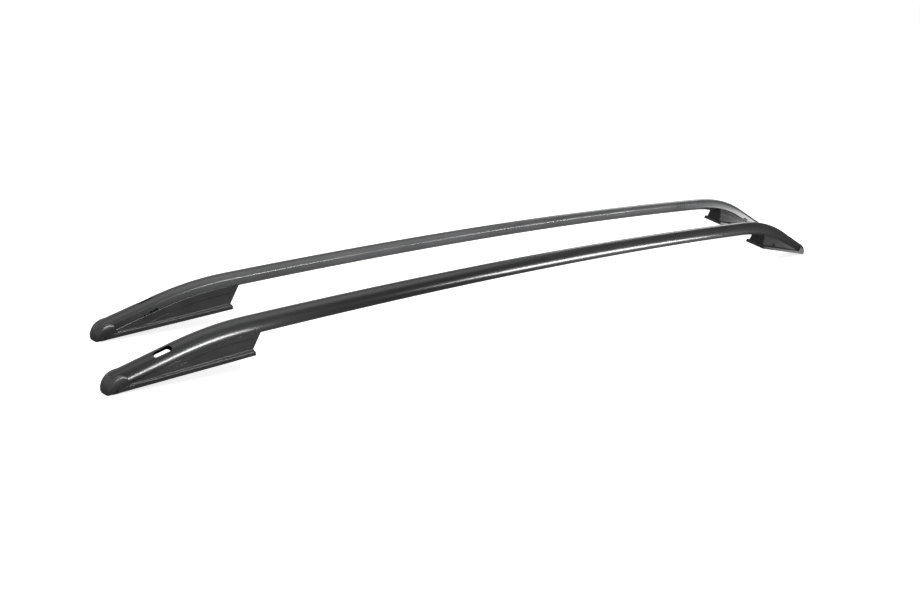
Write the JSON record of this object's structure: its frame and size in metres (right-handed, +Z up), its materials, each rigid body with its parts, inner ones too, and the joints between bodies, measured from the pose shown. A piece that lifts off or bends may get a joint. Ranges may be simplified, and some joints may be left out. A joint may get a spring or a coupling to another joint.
{
  "type": "roof side rail pair",
  "caption": "Pair of black arched roof side rails: mirrored aluminium tubes that bend down at both ends into moulded plastic feet with gaskets and steel brackets.",
  "frame": {"origin": "middle of the pair on the floor", "axes": "+X from the front feet to the rear feet along the rails, +Y from the left rail to the right rail, +Z up"},
  "size_m": [2.2563, 0.26, 0.1424],
  "materials": {
    "rail_coat": "black powder coat, semi gloss, on an aluminium extrusion",
    "foot_plastic": "black moulded plastic, fine grain",
    "gasket": "matt black sheet rubber",
    "zinc_steel": "zinc plated",
    "nut_alloy": "bare turned alloy",
    "zinc_screw": "zinc plated"
  },
  "bodies": {
    "root": {"left_tube": "rail_coat", "left_front_foot": "foot_plastic", "left_rear_foot": "foot_plastic", "left_front_pad": "gasket", "left_rear_pad": "gasket", "left_front_bracket": "zinc_steel", "left_rear_bracket": "zinc_steel", "left_front_tube_screws": "zinc_screw", "left_rear_tube_screws": "zinc_screw", "left_front_rivet_nuts": "nut_alloy", "left_rear_rivet_nuts": "nut_alloy", "left_front_bracket_screws": "zinc_screw", "left_rear_bracket_screws": "zinc_screw", "right_tube": "rail_coat", "right_front_foot": "foot_plastic", "right_rear_foot": "foot_plastic", "right_front_pad": "gasket", "right_rear_pad": "gasket", "right_front_bracket": "zinc_steel", "right_rear_bracket": "zinc_steel", "right_front_tube_screws": "zinc_screw", "right_rear_tube_screws": "zinc_screw", "right_front_rivet_nuts": "nut_alloy", "right_rear_rivet_nuts": "nut_alloy", "right_front_bracket_screws": "zinc_screw", "right_rear_bracket_screws": "zinc_screw"}
  },
  "joints": []
}
